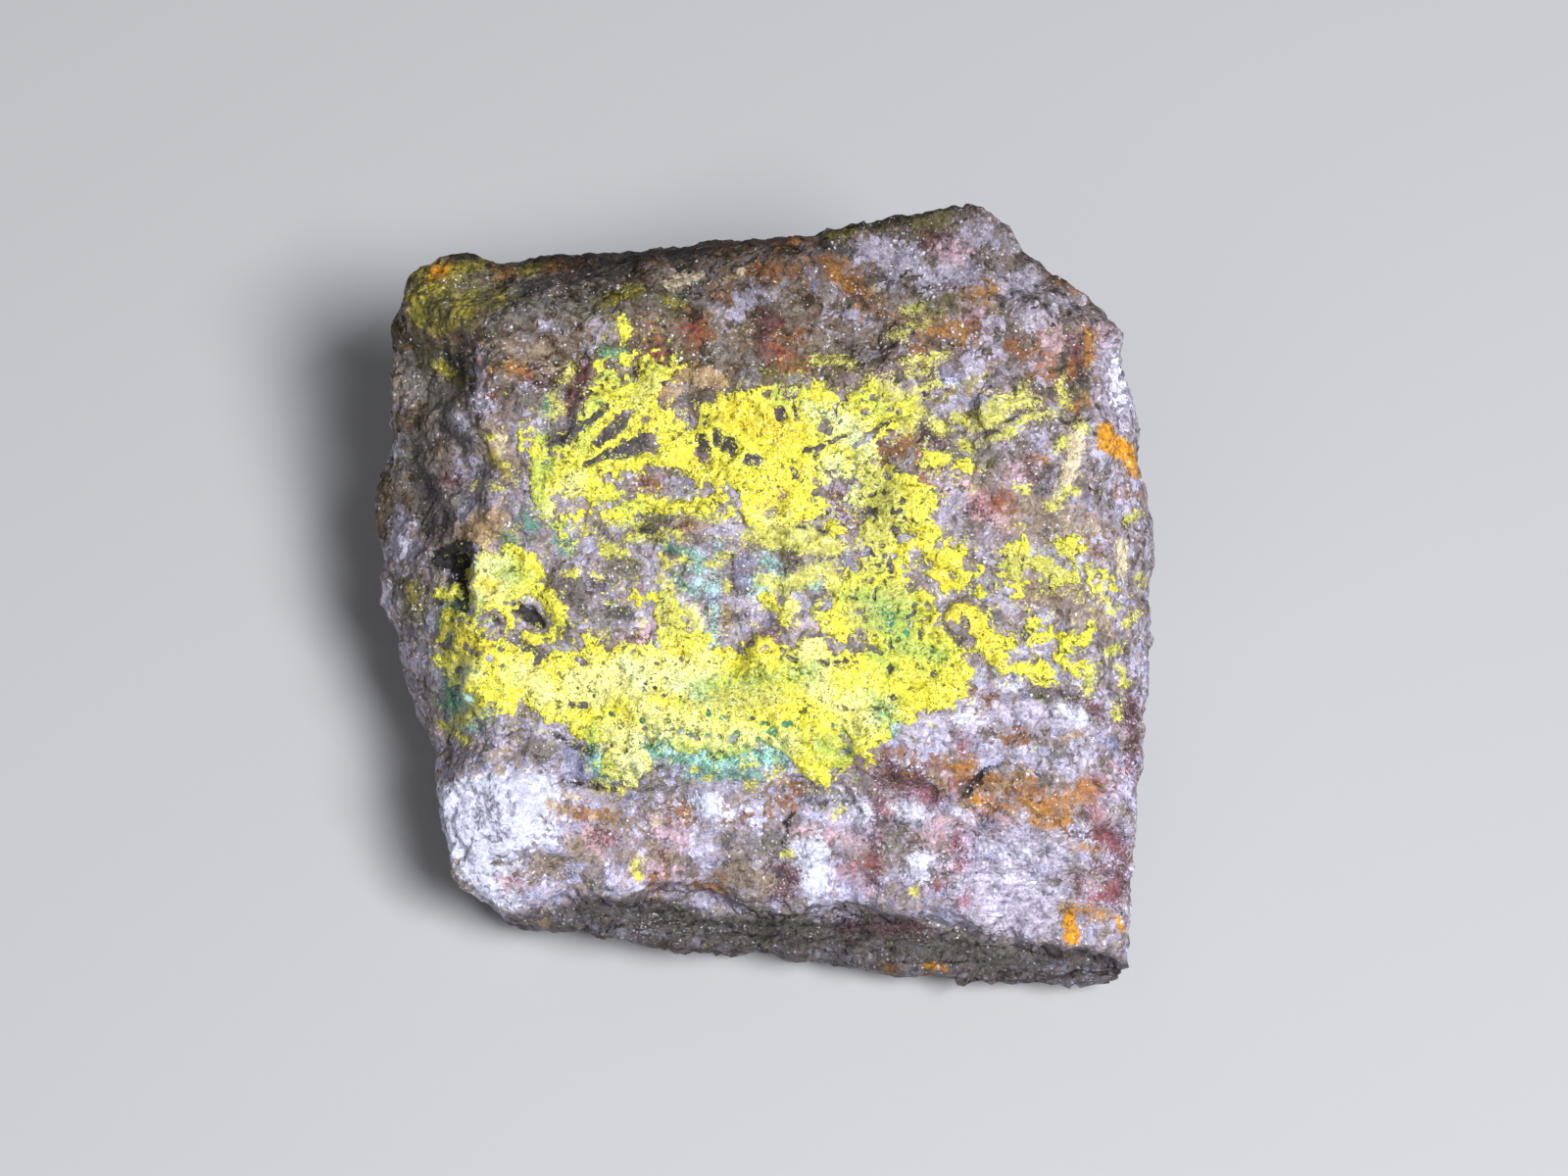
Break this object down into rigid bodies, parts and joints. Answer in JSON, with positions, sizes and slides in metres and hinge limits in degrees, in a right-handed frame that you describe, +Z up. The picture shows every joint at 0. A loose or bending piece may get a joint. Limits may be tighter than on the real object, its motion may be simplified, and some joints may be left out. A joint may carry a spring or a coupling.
{
  "type": "mineral specimen",
  "caption": "Broken block of pale quartz and feldspar rock, its leaning show face crusted with yellow francevillite crystals.",
  "frame": {"origin": "on the flat underside that the block rests on, near the middle of it", "axes": "+Z up, the show face looks up and towards -Y, leaning 30 degrees from level, and +X is to its right"},
  "size_m": [0.0739, 0.0656, 0.045],
  "materials": {
    "rock": "matte",
    "yellow_crystals": "satin"
  },
  "bodies": {
    "root": {"matrix_rock": "rock", "francevillite_crust": "yellow_crystals", "right_crust_patch": "yellow_crystals", "right_crust_streak": "yellow_crystals"}
  },
  "joints": []
}
